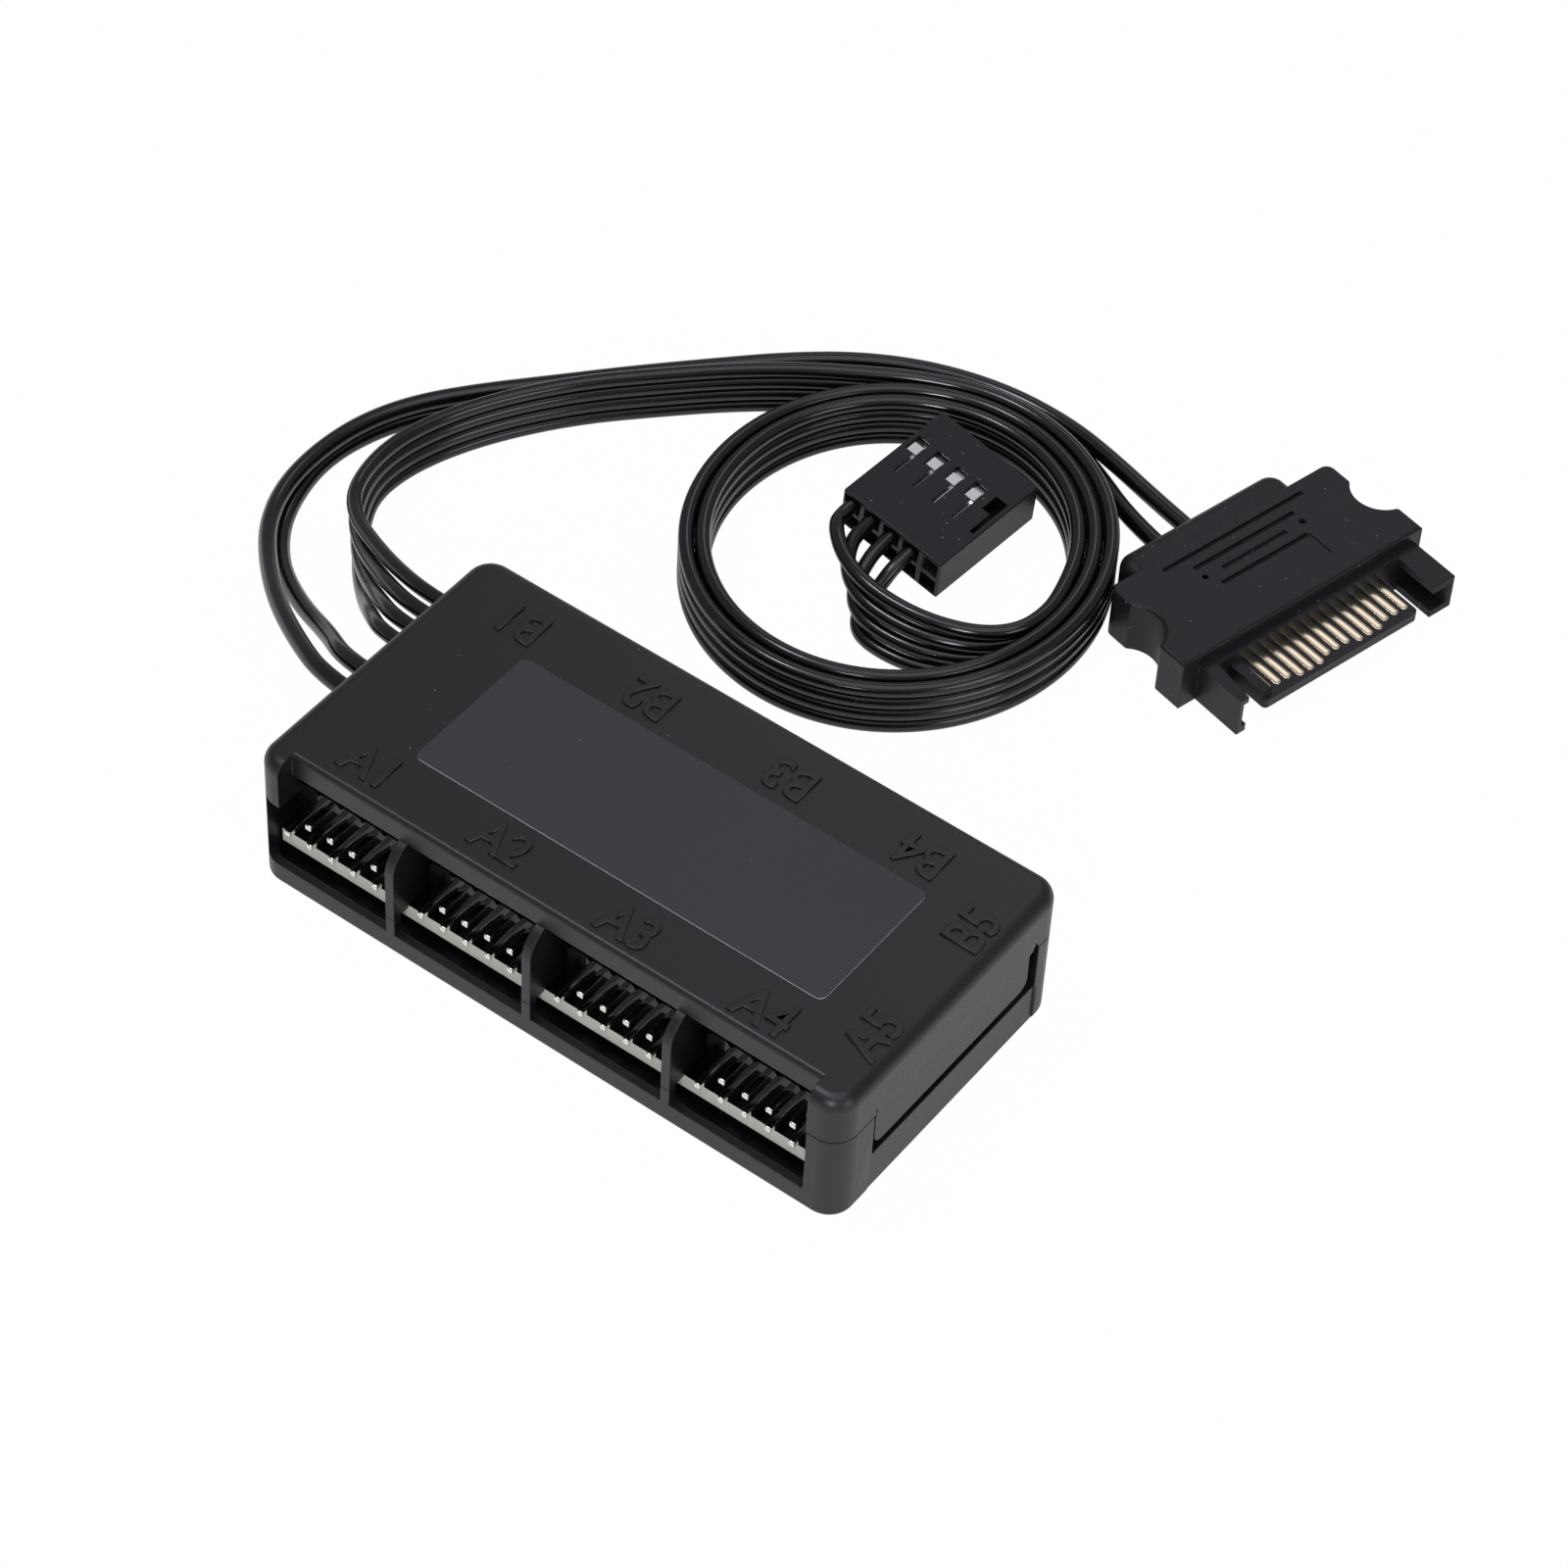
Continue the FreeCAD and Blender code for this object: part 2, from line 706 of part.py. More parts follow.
def usb_plug_housing():
    housing = box((0, 0, 0), (usb_plug_width, usb_plug_length, usb_plug_height))
    housing = housing.makeFillet(usb_plug_edge_round, housing.Edges)
    cuts = []
    for column in range(pins_per_row):
        for row in range(rows_per_port):
            x, z = cell_centre(column, row)
            half = cell_size / 2
            mouth = pin_mouth / 2
            cuts.append(box((x - half, 0, z - half), (x + half, cell_depth, z + half)))
            cuts.append(box((x - mouth, cell_depth, z - mouth), (x + mouth, usb_plug_length, z + mouth)))
            start = window_from_rear - window_length / 2
            face = usb_plug_height * row
            low, high = sorted((face, z))
            cuts.append(box((x - window_width / 2, start, low),
                            (x + window_width / 2, start + window_length, high)))
            line_x = x + window_width / 2 - latch_line_width
            line_low = face - latch_line_depth * row
            cuts.append(box((line_x, start - latch_line_length, line_low),
                            (line_x + latch_line_width, start, line_low + latch_line_depth)))
    return at_usb_plug(housing.cut(cuts))


def usb_plug_contacts():
    contacts = []
    for column in range(pins_per_row - 1):
        x, z = cell_centre(column, 1)
        foot = z - cell_size / 2
        half = contact_width / 2
        lance = contact_lance_width / 2
        body = box((x - half, contact_rear, foot),
                   (x + half, cell_depth - contact_front_gap, foot + contact_width))
        lance_top = usb_plug_height - contact_lance_drop
        lance_y = window_from_rear + contact_lance_shift
        tongue = box((x - lance, lance_y - contact_lance_length / 2, z),
                     (x + lance, lance_y + contact_lance_length / 2, lance_top))
        contacts.append(at_usb_plug(body.fuse(tongue).removeSplitter()))
    return Part.makeCompound(contacts)


# Flat power plug: local x points out of its mating end, y along its contact row

def at_power_plug(shape):
    placed = shape.copy()
    placed.rotate(Vector(0, 0, 0), Vector(0, 0, 1), power_plug_turn_deg)
    placed.translate(Vector(*power_plug_place, 0))
    return placed


def power_plug_point(x, y, z):
    turn = FreeCAD.Rotation(Vector(0, 0, 1), power_plug_turn_deg)
    return turn.multVec(Vector(x, y, z)) + Vector(*power_plug_place, 0)


def power_contacts():
    contacts = []
    foot = tongue_bottom + tongue_thickness - power_contact_sunk
    for index in range(power_contact_count):
        y = power_contact_shift + (index - (power_contact_count - 1) / 2) * power_contact_pitch
        stagger = power_contact_stagger if index in long_contacts else 0
        tip = power_front + tongue_reach - power_contact_setback + stagger
        bar = box((power_front - power_contact_root, y - power_contact_width / 2, foot),
                  (tip, y + power_contact_width / 2, foot + power_contact_thickness))
        tip_edges = [edge for edge in upright_edges(bar) if abs(edge.BoundBox.XMin - tip) < 1e-6]
        contacts.append(bar.makeFillet(power_contact_tip_round, tip_edges))
    return contacts


def power_wire_y(index):
    return power_wire_shift + (index - 0.5) * power_wire_spacing


def power_wire(index, points, end_points):
    height = (power_low, power_high)[index]
    route = points + [(x, y, height) for x, y in pair_stacked] + end_points
    rear = -power_back - power_boss_depth
    for x in (rear - power_wire_depth, rear + power_wire_depth):
        route.append(tuple(power_plug_point(x, power_wire_y(index), power_wire_height)))
    return route


def power_plug_body():
    # A slab, narrower behind, with a round bite in each side and a hump where the wires enter
    narrow = box((-power_back, power_body_shift - power_back_half, 0),
                 (power_bite_place, power_body_shift + power_back_half, power_body_height))
    wide = box((power_bite_place, power_body_shift - power_front_half, 0),
               (power_front, power_body_shift + power_front_half, power_body_height))
    bite_y = power_back_half - power_bite_depth + power_bite_radius
    bites = [cylinder(power_bite_radius, power_body_height,
                      (power_bite_place, power_body_shift + side * bite_y, 0)) for side in (-1, 1)]
    body = fuse_all(narrow, [wide]).cut(bites)
    corners = [edge for edge in upright_edges(body) if abs(edge.BoundBox.XMin + power_back) < 1e-6]
    body = body.makeFillet(power_corner, corners)
    cusps = [edge for edge in upright_edges(body)
             if abs(edge.BoundBox.XMin - power_bite_place) < power_bite_radius]
    body = body.makeFillet(power_cusp_round, cusps)
    body = body.makeFillet(power_edge_round, edges_at_height(body, power_body_height))
    rear = -power_back - power_boss_depth
    crest_height = power_body_height - power_boss_drop
    boss = box((rear, power_boss_shift - power_boss_half, 0),
               (-power_back + power_corner, power_boss_shift + power_boss_half, crest_height))
    boss = boss.makeFillet(power_boss_corner, [edge for edge in upright_edges(boss)
                                               if abs(edge.BoundBox.XMin - rear) < 1e-6])
    crest = [edge for edge in edges_at_height(boss, crest_height)
             if edge.BoundBox.XMin < -power_back]
    return fuse_all(body, [boss.makeFillet(power_boss_crest, crest)])


def left_guide(outer_y):
    # Open towards the tongue: a tapered top plate, an outer wall and a foot
    root = power_front - power_corner
    tip = power_front + guide_reach
    plate_foot = shroud_top - left_plate_thickness
    plate = prism([(root, outer_y, plate_foot), (tip, outer_y, plate_foot),
                   (tip, outer_y + left_guide_tip_width, plate_foot),
                   (root, outer_y + left_guide_root_width, plate_foot)], (0, 0, left_plate_thickness))
    outer = box((root, outer_y, 0), (tip, outer_y + left_wall_thickness, shroud_top))
    foot = box((root, outer_y, 0), (tip, outer_y + left_foot_width, left_foot_height))
    return fuse_all(plate, [outer, foot])


def right_guide(inner_y):
    # Open towards the tongue and at its tip
    root = power_front - power_corner
    tip = power_front + guide_reach
    outer_y = inner_y + right_guide_width
    block = box((root, inner_y, right_guide_bottom), (tip, outer_y, shroud_top))
    hollow = box((power_front + shelf_depth, inner_y, right_guide_bottom + right_plate_thickness),
                 (tip, outer_y - right_wall_thickness, shroud_top - right_plate_thickness))
    return block.cut(hollow)


def grip_cuts():
    # Lines, one short frame side and two holes in the top
    floor_height = power_body_height - grip_groove_depth
    cuts = [box((x - grip_groove_width / 2, grip_shift - half, floor_height),
                (x + grip_groove_width / 2, grip_shift + half, power_body_height))
            for x, half in grip_grooves]
    frame_x, frame_half = grip_grooves[-1]
    frame_y = grip_shift + frame_half
    cuts.append(box((frame_x, frame_y, power_body_height - grip_frame_depth),
                    (frame_x + grip_frame_length, frame_y + grip_frame_width, power_body_height)))
    for side in (-1, 1):
        foot = (grip_hole_place, grip_shift + side * grip_hole_half, power_body_height - grip_hole_depth)
        cuts.append(cylinder(grip_hole_diameter / 2, grip_hole_depth, foot))
    return cuts


def power_plug_housing():
    tongue_left = tongue_shift - tongue_width / 2
    tongue_right = tongue_left + tongue_width
    tongue_top = tongue_bottom + tongue_thickness
    inside = power_front - power_corner
    tongue_tip = power_front + tongue_reach
    tongue = box((inside, tongue_left, tongue_bottom), (tongue_tip, tongue_right, tongue_top))
    tongue = tongue.makeFillet(tongue_corner, [edge for edge in upright_edges(tongue)
                                               if edge.BoundBox.XMin > power_front])
    rim = box((inside, tongue_left, tongue_bottom),
              (tongue_tip - tongue_corner, tongue_left + rim_width, tongue_top + rim_height))
    left_y = tongue_left - left_guide_gap - left_guide_root_width
    right_y = tongue_right + right_guide_gap
    shelf = box((inside, left_y, 0),
                (power_front + shelf_depth, right_y + right_guide_width, shroud_top))
    housing = fuse_all(power_plug_body(), [shelf, tongue, rim, left_guide(left_y), right_guide(right_y)])
    cuts = power_contacts() + grip_cuts()
    rear = -power_back - power_boss_depth
    for index in (0, 1):
        cuts.append(cylinder(power_wire_diameter / 2 + power_bore_clearance, 2 * power_wire_depth,
                             (rear - power_wire_depth, power_wire_y(index), power_wire_height), (1, 0, 0)))
    return at_power_plug(housing.cut(cuts))


def power_plug_contacts():
    return at_power_plug(Part.makeCompound(power_contacts()))


# Every piece by name

def all_parts():
    parts = {"case_base": case_base(), "case_lid": case_lid(), "top_label": top_label(),
             "circuit_board": circuit_board()}
    body = header_body()
    pins = port_pins()
    for side in ("a", "b"):
        for number, x in enumerate(port_x, 1):
            parts[f"port_{side}{number}_body"] = at_port(body, x, side)
            parts[f"port_{side}{number}_pins"] = at_port(pins, x, side)
    first_chip = divider_x[1] - (chip_length + chip_gap) / 2
    second_chip = divider_x[1] + (chip_length + chip_gap) / 2
    parts["hub_chip_a"] = chip(first_chip)
    parts["hub_chip_b"] = chip(second_chip)
    parts["crystal"] = crystal(second_chip + (chip_length + crystal_length) / 2 + chip_gap)
    parts["bulk_capacitor"] = bulk_capacitor(first_chip - (chip_length + can_base) / 2 - small_part_gap)
    small_y = chip_lead_span / 2 + small_part_gap + small_part_width / 2
    parts["ceramic_capacitors"] = small_parts((first_chip, second_chip), -small_y, capacitor_height)
    parts["chip_resistors"] = small_parts((first_chip, second_chip), small_y, resistor_height)
    coil = usb_coil()
    for index in range(usb_wire_count):
        share = index / (usb_wire_count - 1)
        name = f"usb_lead_{index + 1}"
        parts[name] = tube(name, usb_lead(share), usb_wire_diameter).cut(coil)
        name = f"usb_tail_{index + 1}"
        parts[name] = tube(name, usb_tail(share), usb_wire_diameter).cut(coil)
    parts["usb_coil"] = coil
    parts["usb_plug_housing"] = usb_plug_housing()
    parts["usb_plug_contacts"] = usb_plug_contacts()
    routes = ((pair_lower, pair_lower_end), (pair_upper, pair_upper_end))
    for index, (points, end_points) in enumerate(routes):
        name = f"power_wire_{index + 1}"
        parts[name] = tube(name, power_wire(index, points, end_points), power_wire_diameter)
    parts["power_plug_housing"] = power_plug_housing()
    parts["power_plug_contacts"] = power_plug_contacts()
    return parts


os.makedirs("parts", exist_ok=True)
for name, shape in all_parts().items():
    shape.exportStep(f"parts/{name}.step")
    print(name, shape.isValid(), len(shape.Solids), round(shape.Volume, 2))
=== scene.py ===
# Internal hub: case with rows of pins, coiled four-wire lead, crimp plug, flat drive-power plug
import math
import bpy
import bmesh
from mathutils import Matrix, Vector


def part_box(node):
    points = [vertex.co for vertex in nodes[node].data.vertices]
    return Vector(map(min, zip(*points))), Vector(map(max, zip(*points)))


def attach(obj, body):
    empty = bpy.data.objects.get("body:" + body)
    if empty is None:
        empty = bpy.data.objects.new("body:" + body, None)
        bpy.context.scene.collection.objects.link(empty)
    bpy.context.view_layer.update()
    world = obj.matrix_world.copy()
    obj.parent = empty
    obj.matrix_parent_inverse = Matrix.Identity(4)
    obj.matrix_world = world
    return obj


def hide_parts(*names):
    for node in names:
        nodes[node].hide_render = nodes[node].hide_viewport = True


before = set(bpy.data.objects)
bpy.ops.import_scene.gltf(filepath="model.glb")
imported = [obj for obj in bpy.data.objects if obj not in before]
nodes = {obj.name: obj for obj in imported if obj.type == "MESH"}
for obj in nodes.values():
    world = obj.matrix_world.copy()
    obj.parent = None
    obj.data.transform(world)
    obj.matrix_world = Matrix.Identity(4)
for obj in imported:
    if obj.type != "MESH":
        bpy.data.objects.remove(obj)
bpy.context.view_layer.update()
scene = bpy.context.scene
mm = 0.001
print("frame loaded:", len(nodes), "nodes")


# Camera, floor and light

photoCamera = {
    "place": (0.175541, -0.237792, 0.344492),
    "right": (0.79937536, 0.59944201, 0.04084494),
    "up": (-0.46545436, 0.57484248, 0.67298467),
    "back": (0.37993588, -0.55697882, 0.73852781),
    "lens": 115.69,
    "sensor": 36.0,
}
studio = {
    "floorSize": 6.0,
    "floorColour": "#f4f4f4",
    "floorGlow": (0.99, 0.5),  # share of plain white that the camera and mirrors see
    "worldColour": "#c9ccd2",
    "worldStrength": 0.3,
    "worldGlow": (1.0, 0.12),
    "lampColour": "#f4f2ff",
    "lamps": (  # place, size, watts
        ((0.08, -0.05, 0.85), 0.80, 2.4),
        ((0.30, -0.85, 0.50), 0.20, 3.0),
        ((0.85, -0.15, 0.30), 0.40, 1.5),
        ((-0.23, 0.57, 0.565), 0.26, 0.24),
        ((-0.28, -0.12, 0.76), 0.13, 1.0),
    ),
    "aim": (-0.01, 0.03, 0.0),
}


def linear(hexColour):
    parts = [int(hexColour[start:start + 2], 16) / 255 for start in (1, 3, 5)]
    return [p / 12.92 if p <= 0.04045 else ((p + 0.055) / 1.055) ** 2.4 for p in parts] + [1.0]


def addNode(tree, kind, settings):
    # A key is a setting, or an input's name or number; a socket as its value is linked
    node = tree.nodes.new(kind)
    for key, value in settings.items():
        if isinstance(key, str) and hasattr(node, key):
            setattr(node, key, value)
        elif isinstance(value, bpy.types.NodeSocket):
            tree.links.new(value, node.inputs[key])
        else:
            node.inputs[key].default_value = value
    return node


def addObject(name, data):
    made = bpy.data.objects.new(name, data)
    scene.collection.objects.link(made)
    return made


camera = bpy.data.cameras.new("camera")
camera.lens = photoCamera["lens"]
camera.sensor_width = photoCamera["sensor"]
cameraObject = addObject("camera", camera)
columns = [photoCamera[key] for key in ("right", "up", "back", "place")]
cameraObject.matrix_world = Matrix(
    [[column[row] for column in columns] for row in range(3)] + [[0, 0, 0, 1]])
scene.camera = cameraObject

scene.view_settings.view_transform = "Standard"


def seenShare(tree, toCamera, toMirrors):
    # How much of the white backdrop a ray meets: from the camera, or by way of metal and glass
    ray = addNode(tree, "ShaderNodeLightPath", {}).outputs
    mirrors = addNode(tree, "ShaderNodeMath", {
        "operation": "MAXIMUM", 0: ray["Is Glossy Ray"], 1: ray["Is Transmission Ray"]})
    dimmed = addNode(tree, "ShaderNodeMath", {
        "operation": "MULTIPLY", 0: mirrors.outputs[0], 1: toMirrors})
    direct = addNode(tree, "ShaderNodeMath", {
        "operation": "MULTIPLY", 0: ray["Is Camera Ray"], 1: toCamera})
    return addNode(tree, "ShaderNodeMath", {
        "operation": "MAXIMUM", 0: direct.outputs[0], 1: dimmed.outputs[0]}).outputs[0]


world = bpy.data.worlds.new("studio")
world.use_nodes = True
tree = world.node_tree
air = tree.nodes["Background"]
air.inputs["Color"].default_value = linear(studio["worldColour"])
air.inputs["Strength"].default_value = studio["worldStrength"]
backdrop = addNode(tree, "ShaderNodeBackground", {"Color": (1, 1, 1, 1), "Strength": 1.0})
mixed = addNode(tree, "ShaderNodeMixShader", {
    0: seenShare(tree, *studio["worldGlow"]), 1: air.outputs[0], 2: backdrop.outputs[0]})
tree.links.new(mixed.outputs[0], tree.nodes["World Output"].inputs["Surface"])
scene.world = world

for index, (place, size, watts) in enumerate(studio["lamps"]):
    lamp = bpy.data.lights.new(f"softbox{index + 1}", "AREA")
    lamp.size = size
    lamp.energy = watts
    lamp.color = linear(studio["lampColour"])[:3]
    lampObject = addObject(lamp.name, lamp)
    lampObject.location = place
    toAim = Vector(studio["aim"]) - Vector(place)
    lampObject.rotation_euler = toAim.to_track_quat("-Z", "Y").to_euler()

floorMesh = bpy.data.meshes.new("floor")
half = studio["floorSize"] / 2
corners = [(-half, -half, 0), (half, -half, 0), (half, half, 0), (-half, half, 0)]
floorMesh.from_pydata(corners, [], [(0, 1, 2, 3)])
# Matte paper: plain and pale, and it takes the object's shadow
floorFinish = bpy.data.materials.new("paper sweep")
floorFinish.use_nodes = True
tree = floorFinish.node_tree
tree.nodes.remove(tree.nodes["Principled BSDF"])
paper = addNode(tree, "ShaderNodeBsdfDiffuse", {"Color": linear(studio["floorColour"])})
glow = addNode(tree, "ShaderNodeEmission", {"Color": (1, 1, 1, 1), "Strength": 1.0})
mixed = addNode(tree, "ShaderNodeMixShader", {
    0: seenShare(tree, *studio["floorGlow"]), 1: paper.outputs[0], 2: glow.outputs[0]})
tree.links.new(mixed.outputs[0], tree.nodes["Material Output"].inputs["Surface"])
floorMesh.materials.append(floorFinish)
floorObject = addObject("floor", floorMesh)
print("camera, light and floor set")


# Finishes

def startMaterial(name):
    material = bpy.data.materials.new(name)
    material.use_nodes = True
    tree = material.node_tree
    place = addNode(tree, "ShaderNodeTexCoord", {}).outputs["Object"]
    return material, tree, tree.nodes["Principled BSDF"], place


def toneAndGloss(tree, shader, look, toneBy, glossBy):
    # Colour drifts between the look's two tones, and the gloss goes a little up and down.
    # A colour mix has its two colours at inputs 6 and 7, and its result at output 2
    tone = addNode(tree, "ShaderNodeMix", {
        "data_type": "RGBA", "Factor": toneBy, 6: linear(look["dark"]), 7: linear(look["light"])})
    tree.links.new(tone.outputs[2], shader.inputs["Base Color"])
    gloss = addNode(tree, "ShaderNodeMapRange", {
        "Value": glossBy, "To Min": look["roughness"] - look["spread"],
        "To Max": look["roughness"] + look["spread"]})
    tree.links.new(gloss.outputs["Result"], shader.inputs["Roughness"])
    return tone.outputs[2]


def dusted(tree, place, gapMm, clean):
    # Pale specks of dust, most of the cells left clean
    dust = {"speckMm": 0.075, "cleanShare": 0.7, "colour": "#7e7e82"}
    cells = addNode(tree, "ShaderNodeTexVoronoi", {"Scale": 1 / (gapMm * mm), "Vector": place}).outputs
    speck = addNode(tree, "ShaderNodeMath", {
        "operation": "LESS_THAN", 0: cells["Distance"], 1: dust["speckMm"] / gapMm})
    chosen = addNode(tree, "ShaderNodeMath", {
        "operation": "GREATER_THAN", 0: cells["Color"], 1: dust["cleanShare"]})
    both = addNode(tree, "ShaderNodeMath", {
        "operation": "MULTIPLY", 0: speck.outputs[0], 1: chosen.outputs[0]})
    return addNode(tree, "ShaderNodeMix", {
        "data_type": "RGBA", "Factor": both.outputs[0], 6: clean, 7: linear(dust["colour"])}).outputs[2]


def mouldedPlastic(name, look):
    # Spark-eroded mould grain: a fine even bump that breaks the gloss, with slow drifts of tone.
    # The real grain is about a tenth of a millimetre, and is drawn coarser here so that it shows
    look = {"spread": 0.06, "bumpMm": 0.03, **look}
    material, tree, shader, place = startMaterial(name)
    grain = addNode(tree, "ShaderNodeTexNoise", {
        "Scale": 1 / (look["grainMm"] * mm), "Detail": 3.0, "Vector": place}).outputs["Fac"]
    drift = addNode(tree, "ShaderNodeTexNoise", {
        "Scale": 1 / (look["driftMm"] * mm), "Detail": 2.0, "Vector": place}).outputs["Fac"]
    tone = toneAndGloss(tree, shader, look, drift, grain)
    if "dustMm" in look:
        tree.links.new(dusted(tree, place, look["dustMm"], tone), shader.inputs["Base Color"])
    soft = addNode(tree, "ShaderNodeBevel", {"samples": 6, "Radius": look["edgeMm"] * mm})  # moulded edges
    bump = addNode(tree, "ShaderNodeBump", {
        "Strength": look["bump"], "Distance": look["bumpMm"] * mm,
        "Height": grain, "Normal": soft.outputs[0]})
    tree.links.new(bump.outputs["Normal"], shader.inputs["Normal"])
    shader.inputs["IOR"].default_value = look["ior"]
    return material


# ABS of the case: matte black, with a soft sheen and a little dust
caseAbs = mouldedPlastic("moulded ABS", {
    "dark": "#101013", "light": "#141417", "edgeMm": 0.16, "grainMm": 0.35, "driftMm": 14,
    "roughness": 0.38, "bump": 0.2, "ior": 1.53, "dustMm": 2.2})
# PBT header strips: black and polished, so they mirror the pins
headerPbt = mouldedPlastic("moulded PBT", {
    "dark": "#060607", "light": "#0a0a0b", "edgeMm": 0.08, "grainMm": 0.5, "driftMm": 5,
    "roughness": 0.04, "spread": 0.02, "bump": 0.005, "ior": 1.4})
# Nylon of the plugs: greyer than the case, with a softer grain and more dust
plugNylon = mouldedPlastic("moulded nylon", {
    "dark": "#18181b", "light": "#1d1d20", "edgeMm": 0.14, "grainMm": 0.45, "driftMm": 7,
    "roughness": 0.4, "bump": 0.15, "ior": 1.38, "dustMm": 0.8})
# Polyester label film: matte, with an even print layer
labelFilm = mouldedPlastic("matte polyester film", {
    "dark": "#2b2b30", "light": "#303035", "edgeMm": 0.03, "grainMm": 0.25, "driftMm": 18,
    "roughness": 0.52, "bump": 0.1, "ior": 1.55, "dustMm": 1.6})
# The film's cut edge is painted pale: a painted highlight for the light that the label's edge catches
labelEdgeHighlight = mouldedPlastic("cut polyester edge", {
    "dark": "#d0d0d4", "light": "#dedee2", "edgeMm": 0.02, "grainMm": 0.1, "driftMm": 2,
    "roughness": 0.5, "bump": 0.1, "ior": 1.55})
# Epoxy of the chips: dull and dark grey
chipEpoxy = mouldedPlastic("moulded epoxy", {
    "dark": "#19191a", "light": "#202021", "edgeMm": 0.1, "grainMm": 0.2, "driftMm": 3,
    "roughness": 0.6, "bump": 0.2, "ior": 1.55})
# Ceramic of the small capacitors: sandy brown, a little waxy
firedCeramic = mouldedPlastic("fired ceramic", {
    "dark": "#a58a63", "light": "#b39870", "edgeMm": 0.05, "grainMm": 0.2, "driftMm": 2,
    "roughness": 0.5, "bump": 0.1, "ior": 1.6})
# Glossy solder mask over copper: nearly black, mirrors the pins
solderMask = mouldedPlastic("glossy solder mask", {
    "dark": "#060707", "light": "#0a0b0b", "edgeMm": 0.03, "grainMm": 0.8, "driftMm": 6,
    "roughness": 0.09, "bump": 0.01, "ior": 1.55})
# Sawn edge of glass-epoxy board: pale, dry and fibrous
boardEdge = mouldedPlastic("sawn glass epoxy", {
    "dark": "#d3d8c2", "light": "#e4e8d6", "edgeMm": 0.03, "grainMm": 0.15, "driftMm": 1.2,
    "roughness": 0.7, "bump": 0.3, "ior": 1.52})


def platedMetal(name, look):
    # Thin plate over drawn metal: a soft mirror with faint lengthwise draw marks, wider than
    # the real ones so that they show
    look = {"spread": 0.03, **look}
    material, tree, shader, place = startMaterial(name)
    stretch = addNode(tree, "ShaderNodeMapping", {"Scale": look["marks"], "Vector": place})
    marks = addNode(tree, "ShaderNodeTexNoise", {
        "Scale": 1 / (look["grainMm"] * mm), "Detail": 2.0, "Vector": stretch.outputs[0]}).outputs["Fac"]
    toneAndGloss(tree, shader, look, marks, marks)
    shader.inputs["Metallic"].default_value = 1.0
    return material


# Thin gold over nickel on the header pins: pale, and bright where it mirrors the room
pinGold = platedMetal("thin gold plate", {
    "dark": "#efebdf", "light": "#fbf9f3", "grainMm": 0.2, "marks": (1, 0.15, 1), "roughness": 0.1})
# Gold flash on the flat plug's contacts: cream, rubbed smooth
contactGold = platedMetal("gold flash", {
    "dark": "#ecdab9", "light": "#f3e5ca", "grainMm": 0.3, "marks": (0.2, 1, 1), "roughness": 0.2})
# Tin on the crimp contacts: white and softly bright
crimpTin = platedMetal("tin plate", {
    "dark": "#ececea", "light": "#f6f6f4", "grainMm": 0.9, "marks": (1, 0.3, 1), "roughness": 0.26,
    "spread": 0.01})
# Aluminium of the cans: satin, with draw marks up the sides
canAluminium = platedMetal("drawn aluminium can", {
    "dark": "#c4c4c6", "light": "#d6d6d8", "grainMm": 0.4, "marks": (1, 1, 0.1), "roughness": 0.32})


def extrudedPvc():
    # Soft PVC from a die: smooth and glossy, with slow waves where it was wound
    look = {"dark": "#08080a", "light": "#0d0d10", "waveMm": 7.0, "roughness": 0.18, "spread": 0.05,
            "bump": 0.1, "bumpMm": 0.05, "ior": 1.54}
    material, tree, shader, place = startMaterial("extruded PVC")
    wave = addNode(tree, "ShaderNodeTexNoise", {
        "Scale": 1 / (look["waveMm"] * mm), "Detail": 2.0, "Vector": place}).outputs["Fac"]
    toneAndGloss(tree, shader, look, wave, wave)
    bump = addNode(tree, "ShaderNodeBump", {
        "Strength": look["bump"], "Distance": look["bumpMm"] * mm, "Height": wave})
    tree.links.new(bump.outputs["Normal"], shader.inputs["Normal"])
    shader.inputs["IOR"].default_value = look["ior"]
    return material


wirePvc = extrudedPvc()
print("finishes made")


# Wires: the routes of the part's own tubes, in millimetres

seamHeight = 10.2
boardTop = 4.6
# A wire's whole length is in metres
usbWire = {"count": 4, "diameter": 1.5, "pitch": 1.56, "notchRise": 0.8, "length": 0.425}
powerWire = {"diameter": 1.8, "notchRise": 0.95, "lengths": (0.157, 0.159)}
usbLie = seamHeight + usbWire["notchRise"]  # middle of a wire in its notch
powerLie = seamHeight + powerWire["notchRise"]
usbLow = usbWire["diameter"] / 2
usbHigh = usbLow + (usbWire["count"] - 1) * usbWire["pitch"]
powerLow = powerWire["diameter"] / 2
powerHigh = powerLow + powerWire["diameter"]
leadBottom = [
    (-25.9, 3.6, boardTop), (-25.9, 3.6, usbLie), (-28.5, 5.55, usbLie), (-36.0, 5.55, usbLie),
    (-39.8, 8.4, 8.6), (-44.3, 12.6, 4.4), (-48.7, 17.0, 1.7), (-52.3, 21.5, 0.85)]
leadTop = [
    (-18.1, 3.6, boardTop), (-18.1, 3.6, usbLie), (-28.5, 12.0, usbLie), (-36.0, 12.0, usbLie),
    (-41.2, 13.8, 9.6), (-46.0, 16.2, 8.0), (-50.4, 18.8, 6.5), (-53.5, 21.9, 5.65)]
leadOnEdge = [
    (-54.9, 26.2), (-54.9, 31.0), (-53.4, 36.2), (-50.6, 41.8), (-46.4, 47.9), (-41.4, 53.3),
    (-36.2, 58.6), (-30.8, 63.2), (-25.54, 66.78)]
